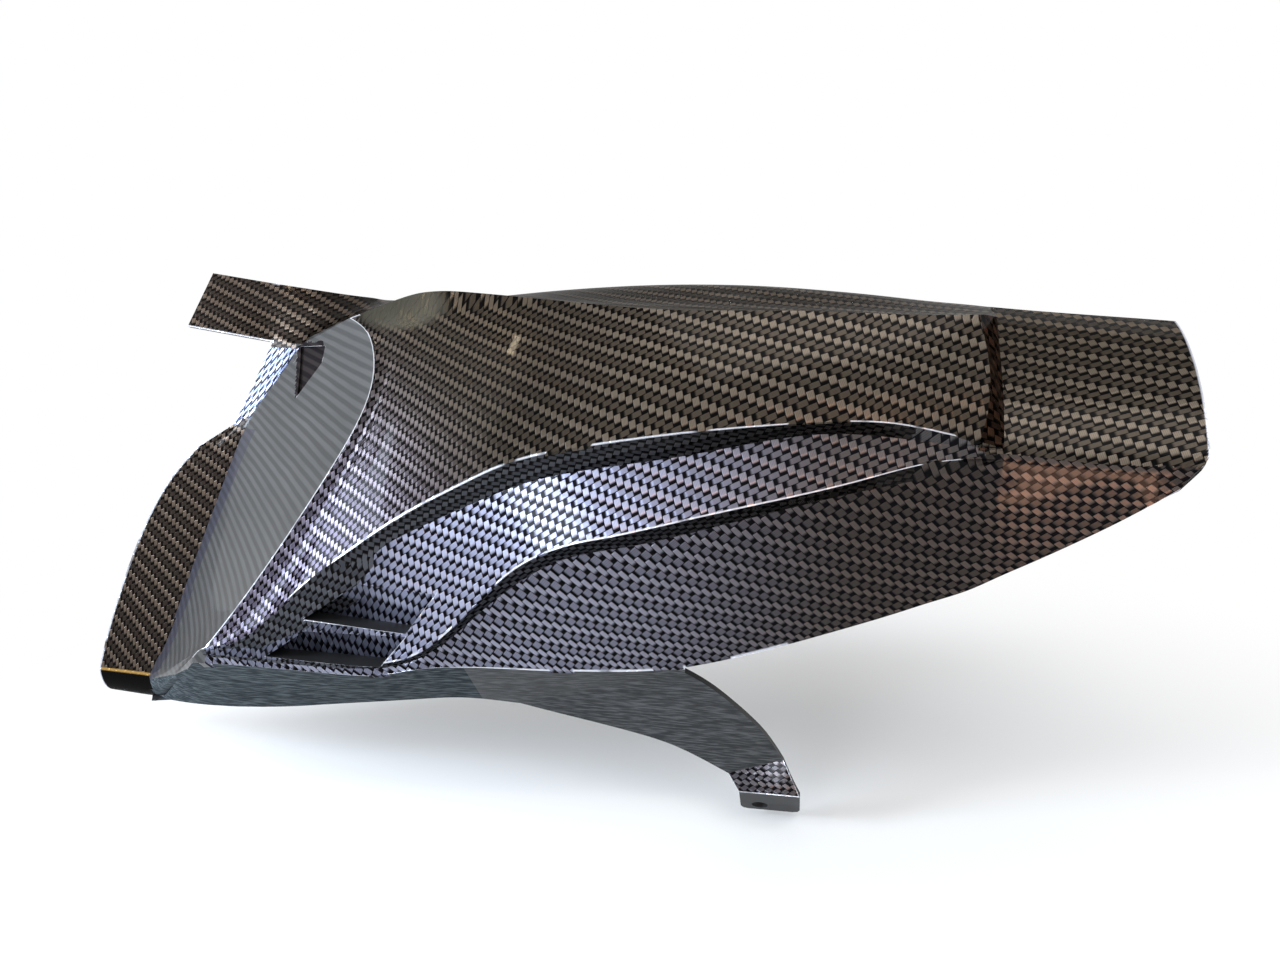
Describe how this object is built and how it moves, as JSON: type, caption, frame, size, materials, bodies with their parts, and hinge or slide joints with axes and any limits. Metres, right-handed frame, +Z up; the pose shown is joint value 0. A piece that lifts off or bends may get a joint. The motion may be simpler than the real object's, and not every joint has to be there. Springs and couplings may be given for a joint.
{
  "type": "rear hugger mudguard",
  "caption": "Rear hugger mudguard: a sheet arch over the tyre with a raised side pod, pressed louvres, a tucked skirt and a leg ending in a bolted foot.",
  "frame": {"origin": "mouth of the foot's bolt hole, on the foot's outer face, at the hole's axis", "axes": "+X rearwards along the tyre, -Y towards the side with the pod and the leg, +Z up"},
  "size_m": [0.5574, 0.207, 0.2586],
  "materials": {
    "printed_sheet": "high gloss over a printed weave"
  },
  "bodies": {
    "root": {"mudguard": "printed_sheet"}
  },
  "joints": []
}
